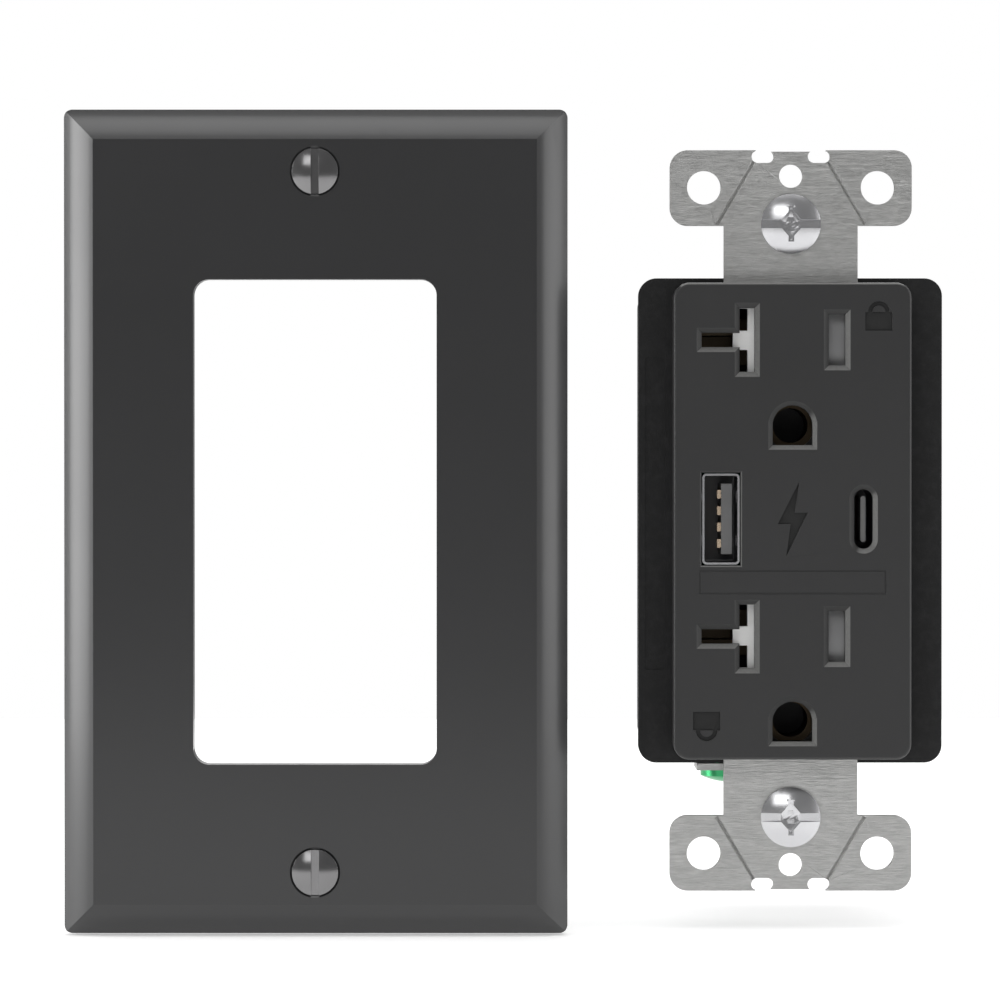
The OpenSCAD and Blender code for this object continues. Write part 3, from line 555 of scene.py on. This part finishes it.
class OUTLET_OT_front_cover(bpy.types.Operator):
    """Front cover with its slots, ground holes, port openings and marks"""

    bl_idname = "outlet.front_cover"
    bl_label = "Front cover"

    def execute(self, context):
        finishes = context.scene.outlet_finishes
        tone = finishes.face
        low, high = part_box("front_cover")
        finish = Finish("face satin", 0.42)
        drift = finish.noise(0.06)
        grain = finish.noise(3.2, detail=4.0, roughness=0.65)
        scuff = finish.scuffs()
        moulded = finish.mix(drift * 0.5 + scuff * 0.18, tone, tinted(tone, 1.3))

        # The openings' flared edges get a painted highlight, brightest where they face up and left
        # towards the lights.
        depth = (finish.axis("Y") - low.y) / MM
        normal = finish.node("ShaderNodeNewGeometry", {}, {}, "Normal")
        across, inward, upward = (finish.axis(letter, normal) for letter in "XYZ")
        flare = 1.0 - (-inward).above(0.86, 0.08)
        near_face = depth.above(0.02, 0.04) * (1.0 - depth.above(0.75, 0.1))
        at_side = (abs(finish.axis("X")) / MM).above(high.x / MM - 1.0, 0.1)
        lit = 0.12 + 0.88 * (upward - across).above(0.1, 0.4)
        painted_flare_highlight = flare * near_face * (1.0 - at_side) * lit
        moulded = finish.mix(painted_flare_highlight * (0.45 + grain * 0.55), moulded, (0.17, 0.17, 0.165))

        # The marks are inked on the flat floor of their engraving.
        first, last = MARK_FLOOR
        on_floor = depth.above(first, 0.03) * (1.0 - depth.above(last, 0.03))
        inked = on_floor * (-inward).above(0.9, 0.05)
        finish.colour(finish.mix(inked, moulded, (0.004, 0.004, 0.004)))
        finish.feed(
            "Roughness", 0.37 + drift * 0.06 + grain * 0.05 + scuff * 0.08 + inked * 0.25
        )
        finish.bump(grain, 0.012)
        refined("front_cover", finish.material, finishes.edge, 24.0, 3)
        return {"FINISHED"}


class OUTLET_OT_back_body(bpy.types.Operator):
    """Rear housing with its wide front rim and its wiring bays"""

    bl_idname = "outlet.back_body"
    bl_label = "Rear housing"

    def execute(self, context):
        tone = context.scene.outlet_finishes.housing
        black = housing_black("housing black", tone, tinted(tone, 2.0, lift=0.012))
        refined("back_body", black, 0.14, 28.0, 3)
        return {"FINISHED"}


class OUTLET_OT_strap(bpy.types.Operator):
    """Galvanised mounting strap with its four ears"""

    bl_idname = "outlet.strap"
    bl_label = "Mounting strap"

    def execute(self, context):
        light = context.scene.outlet_finishes.strap
        steel = strap_steel("strap steel", light, tinted(light, 0.58), 0.36)
        refined("strap", steel, 0.1, 28.0)
        return {"FINISHED"}


class OUTLET_OT_box_screws(bpy.types.Operator):
    """Box mounting screws with combination heads, and their fibre washers"""

    bl_idname = "outlet.box_screws"
    bl_label = "Box screws"

    def execute(self, context):
        zinc = plated("bright zinc", (0.70, 0.70, 0.71), (0.56, 0.56, 0.58), 0.19, 1.6, 0.0008)
        for node in ("upper_box_screw", "lower_box_screw"):
            low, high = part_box(node)
            centre = ((low.x + high.x) / 2, (low.z + high.z) / 2)
            threaded_screws(node, zinc, BOX_NECK_END * MM, [centre],
                            BOX_THREAD_R, BOX_CORE_R, edge_mm=0.06, segments=2)
        fibre = plastic("washer fibre", (0.28, 0.10, 0.05), (0.40, 0.17, 0.09), 0.75, 2.5, 0.03)
        refined("retaining_washers", fibre, 0.05)
        return {"FINISHED"}


class OUTLET_OT_terminals(bpy.types.Operator):
    """Side wiring screws with their clamps, and the grounding screw"""

    bl_idname = "outlet.terminals"
    bl_label = "Terminals"

    def execute(self, context):
        brass = plated("screw brass", (0.80, 0.56, 0.24), (0.62, 0.40, 0.16), 0.24, 1.6, 0.001)
        nickel = plated("screw nickel", (0.76, 0.74, 0.71), (0.58, 0.56, 0.53), 0.24, 1.6, 0.001)
        clamp = plated("clamp zinc", (0.60, 0.60, 0.58), (0.42, 0.42, 0.40), 0.42, 1.2, 0.015)
        for level in ("upper", "lower"):
            refined(f"{level}_hot_screw", brass, 0.07)
            refined(f"{level}_neutral_screw", nickel, 0.07)
            refined(f"{level}_hot_clamp", clamp, 0.08)
            refined(f"{level}_neutral_clamp", clamp, 0.08)
        tone = context.scene.outlet_finishes.ground
        green = plated("green passivate", tone, (0.10, 0.48, 0.22), 0.26, 1.6, 0.001)
        refined("ground_screw", green, 0.07)
        zinc = plated("assembly zinc", (0.62, 0.60, 0.52), (0.48, 0.44, 0.34), 0.34, 1.4, 0.01)
        refined("assembly_screws", zinc, 0.06)
        return {"FINISHED"}


def return_spring(level, steel):
    """A return spring, refined from its CAD node and given a mesh of its own."""
    node, joint = f"{level}_shutter_spring", f"{level}_shutter_slide"
    piece = refined(node, steel, edge_mm=0.0, degrees=70.0)
    low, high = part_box(node)
    length = high.x - low.x
    travel = next(j["range_m"][1] for j in frame["joints"] if j["name"] == joint)
    (length - travel) / length
    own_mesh(piece)


class OUTLET_OT_shutters(bpy.types.Operator):
    """Safety shutters with their ramps, springs and guide frames"""

    bl_idname = "outlet.shutters"
    bl_label = "Safety shutters"

    def execute(self, context):
        tone = context.scene.outlet_finishes.shutter
        white = plastic("shutter white", tone, (0.86, 0.85, 0.83), 0.4, 2.0, 0.01)
        grey = plastic("ramp grey", (0.27, 0.27, 0.275), (0.34, 0.34, 0.34), 0.3, 2.0, 0.01)
        black = plastic("guide black", (0.02, 0.02, 0.021), (0.035, 0.035, 0.035), 0.5, 2.0, 0.02)
        steel = plated("spring steel", (0.66, 0.66, 0.68), (0.50, 0.50, 0.53), 0.24, 3.0, 0.003)
        for level in ("upper", "lower"):
            refined(f"{level}_shutter", white, 0.06)
            refined(f"{level}_ramp", grey, 0.06)
            return_spring(level, steel)
        refined("shutter_guides", black, 0.08)
        return {"FINISHED"}


class OUTLET_OT_contacts(bpy.types.Operator):
    """Contact carrier, the two buses, the grounding strip and the leads"""

    bl_idname = "outlet.contacts"
    bl_label = "Contacts"

    def execute(self, context):
        finishes = context.scene.outlet_finishes
        # The brass of the buses and leads is dark, a painted shade for how it looks deep in the
        # slots.
        dull = tinted(finishes.brass, 0.72)
        brass = plated("contact brass", finishes.brass, dull, 0.3, 1.0, 0.01, (1.0, 1.0, 0.2))
        for node in ("neutral_bus", "hot_bus", "mains_leads"):
            refined(node, brass, 0.07)
        # The grounding strip is coloured near black, a painted shade for how it looks through the
        # ground holes.
        bronze = plated(
            "bronze in painted shade", (0.045, 0.035, 0.024), (0.075, 0.055, 0.035), 0.4, 1.0, 0.01
        )
        refined("ground_strip", bronze, 0.07)
        rivet = plated("rivet brass", (0.50, 0.33, 0.14), (0.38, 0.25, 0.10), 0.34)
        refined("ground_rivets", rivet, 0.07)
        nylon = plastic("carrier nylon", finishes.nylon, (0.035, 0.035, 0.036), 0.5, 2.2, 0.015)
        refined("contact_carrier", nylon, 0.1)
        return {"FINISHED"}


class OUTLET_OT_ports(bpy.types.Operator):
    """Rectangular and oval charging ports with their tongues and contacts"""

    bl_idname = "outlet.ports"
    bl_label = "Charging ports"

    def execute(self, context):
        nickel = plated("shell nickel", (0.66, 0.66, 0.67), (0.50, 0.50, 0.52), 0.2, 1.5, 0.001)
        dark = plated("shell dark", (0.16, 0.16, 0.165), (0.10, 0.10, 0.105), 0.3, 1.5, 0.004)
        tongue = plastic("tongue grey", (0.13, 0.13, 0.13), (0.18, 0.18, 0.18), 0.45, 3.0, 0.008)
        gold = plated("contact gold", (0.78, 0.62, 0.46), (0.66, 0.52, 0.38), 0.24, 2.0, 0.003)
        refined("port_a_shell", nickel, 0.05)
        refined("port_a_tongue", tongue, 0.05)
        refined("port_a_contacts", gold, 0.03)
        refined("port_c_shell", dark, 0.05)
        refined("port_c_tongue", tongue, 0.04)
        return {"FINISHED"}


class OUTLET_OT_electronics(bpy.types.Operator):
    """Charging electronics inside the housing"""

    bl_idname = "outlet.electronics"
    bl_label = "Electronics"

    def execute(self, context):
        board = board_green("board green")
        sleeve = plastic(
            "capacitor sleeve", (0.03, 0.06, 0.20), (0.05, 0.09, 0.26), 0.3, 2.0, 0.006
        )
        header = plastic("header black", (0.02, 0.02, 0.02), (0.04, 0.04, 0.04), 0.45, 2.0, 0.02)
        ferrite = plastic("ferrite", (0.035, 0.033, 0.032), (0.07, 0.066, 0.062), 0.6, 4.0, 0.03)
        fuse = plastic("fuse body", (0.34, 0.30, 0.22), (0.46, 0.42, 0.32), 0.35, 1.6, 0.01)
        chip = plastic("chip black", (0.016, 0.016, 0.017), (0.035, 0.035, 0.036), 0.5, 5.0, 0.02)
        tape = wound("winding tape", (0.78, 0.55, 0.10), (0.62, 0.40, 0.06), 1.2)
        wire = wound("choke wire", (0.62, 0.26, 0.10), (0.36, 0.12, 0.05), 2.0, 0.3, 0.8)
        for node, material in {
            "port_board": board,
            "power_board": board,
            "board_header": header,
            "transformer_core": ferrite,
            "transformer_winding": tape,
            "mains_capacitor": sleeve,
            "output_capacitors": sleeve,
            "choke": wire,
            "fuse": fuse,
            "rectifier": chip,
            "control_chips": chip,
        }.items():
            refined(node, material, 0.1)
        return {"FINISHED"}


# ---------------------------------------------------------------- stage


def area_light(name, place, aim, size, power):
    data = bpy.data.lights.new(name, "AREA")
    data.shape = "RECTANGLE"
    data.size, data.size_y = size
    data.energy = power
    lamp = bpy.data.objects.new(name, data)
    bpy.context.scene.collection.objects.link(lamp)
    lamp.location = place
    lamp.rotation_mode = "QUATERNION"
    lamp.rotation_quaternion = (Vector(aim) - Vector(place)).to_track_quat("-Z", "Y")


def pale_floor(centre, height):
    """A plain floor that glows a little, so that it fades into the white room."""
    half, clearance = 0.55, 0.0002
    form = bmesh.new()
    bmesh.ops.create_grid(form, x_segments=8, y_segments=8, size=half)
    floor = bpy.data.objects.new("Floor", smooth_mesh(form, "floor"))
    floor.location = (centre.x, 0.0, height - clearance)
    bpy.context.scene.collection.objects.link(floor)
    white = (1.0, 1.0, 1.0, 1.0)
    paper = Finish("pale floor", 0.7, Emission_Color=white, Emission_Strength=0.35)
    drift = paper.noise(0.02, detail=2.0)
    paper.colour(paper.mix(drift * 0.5, (0.88, 0.88, 0.88), (0.91, 0.91, 0.91)))
    floor.data.materials.append(paper.material)


def white_room(strength):
    """Even light of the stated strength, and plain white behind everything."""
    world = bpy.data.worlds.new("Room")
    world.use_nodes = True
    tree = world.node_tree
    glow = tree.nodes["Background"]
    seen = tree.nodes.new("ShaderNodeBackground")
    for background, brightness in ((glow, strength), (seen, 1.0)):
        background.inputs["Color"].default_value = (1.0, 1.0, 1.0, 1.0)
        background.inputs["Strength"].default_value = brightness
    path = tree.nodes.new("ShaderNodeLightPath")
    mixed = tree.nodes.new("ShaderNodeMixShader")
    tree.links.new(path.outputs["Is Camera Ray"], mixed.inputs["Fac"])
    tree.links.new(glow.outputs["Background"], mixed.inputs[1])
    tree.links.new(seen.outputs["Background"], mixed.inputs[2])
    tree.links.new(mixed.outputs["Shader"], tree.nodes["World Output"].inputs["Surface"])
    bpy.context.scene.world = world


def front_camera(distance, field, elevation):
    """A camera before the outlet that sees the stated width at the strap."""
    data = bpy.data.cameras.new("Camera")
    data.sensor_width = 36.0
    data.lens = data.sensor_width * distance / field
    camera = bpy.data.objects.new("Camera", data)
    bpy.context.scene.collection.objects.link(camera)
    back = Vector((0.0, -math.cos(elevation), math.sin(elevation)))
    camera.location = VIEW_CENTRE + back * distance
    camera.rotation_mode = "QUATERNION"
    camera.rotation_quaternion = (-back).to_track_quat("-Z", "Y")
    bpy.context.scene.camera = camera


class OUTLET_OT_stage(bpy.types.Operator):
    """Floor, soft lights, room light and camera"""

    bl_idname = "outlet.stage"
    bl_label = "Stage"

    def execute(self, context):
        stage = context.scene.outlet_stage
        low, high = CAD_BOX
        centre = (low + high) / 2
        pale_floor(centre, low.z)
        for name, sideways, depth, height, size, power in (
            ("Left light", -0.85, -0.10, 0.0, (0.6, 0.9), stage.left),
            ("Right light", 0.85, -0.12, 0.06, (0.6, 0.9), stage.right),
            ("Top light", 0.0, -0.12, 0.85, (1.0, 0.6), stage.top),
            ("Front light", -0.25, -0.95, 0.55, (0.6, 0.4), stage.front),
            ("Back light", 0.2, 0.85, 0.45, (0.9, 0.6), stage.back),
        ):
            place = (centre.x + sideways, depth, height)
            area_light(name, place, (centre.x, 0.0, centre.z), size, power)
        white_room(stage.ambient)
        context.scene.view_settings.view_transform = "Standard"
        front_camera(stage.distance, stage.field, stage.elevation)
        return {"FINISHED"}


OPERATORS = (
    OUTLET_OT_wall_plate,
    OUTLET_OT_plate_screws,
    OUTLET_OT_front_cover,
    OUTLET_OT_back_body,
    OUTLET_OT_strap,
    OUTLET_OT_box_screws,
    OUTLET_OT_terminals,
    OUTLET_OT_shutters,
    OUTLET_OT_contacts,
    OUTLET_OT_ports,
    OUTLET_OT_electronics,
    OUTLET_OT_stage,
)


class OUTLET_PT_pieces(bpy.types.Panel):
    """Colours, sizes and pieces of the outlet"""

    bl_idname = "OUTLET_PT_pieces"
    bl_label = "Duplex outlet"
    bl_space_type = "VIEW_3D"
    bl_region_type = "UI"
    bl_category = "Outlet"

    def draw(self, context):
        for settings in (context.scene.outlet_finishes, context.scene.outlet_stage):
            for key in settings.__annotations__:
                self.layout.prop(settings, key)
        for operator in OPERATORS:
            self.layout.operator(operator.bl_idname)


CLASSES = (OutletFinishes, OutletStage, *OPERATORS, OUTLET_PT_pieces)


def register():
    for item in CLASSES:
        bpy.utils.register_class(item)
    bpy.types.Scene.outlet_finishes = PointerProperty(type=OutletFinishes)
    bpy.types.Scene.outlet_stage = PointerProperty(type=OutletStage)


def unregister():
    del bpy.types.Scene.outlet_finishes
    del bpy.types.Scene.outlet_stage
    for item in reversed(CLASSES):
        bpy.utils.unregister_class(item)


def main():
    register()
    for operator in OPERATORS:
        group, name = operator.bl_idname.split(".")
        getattr(getattr(bpy.ops, group), name)()


if __name__ == "__main__":
    main()
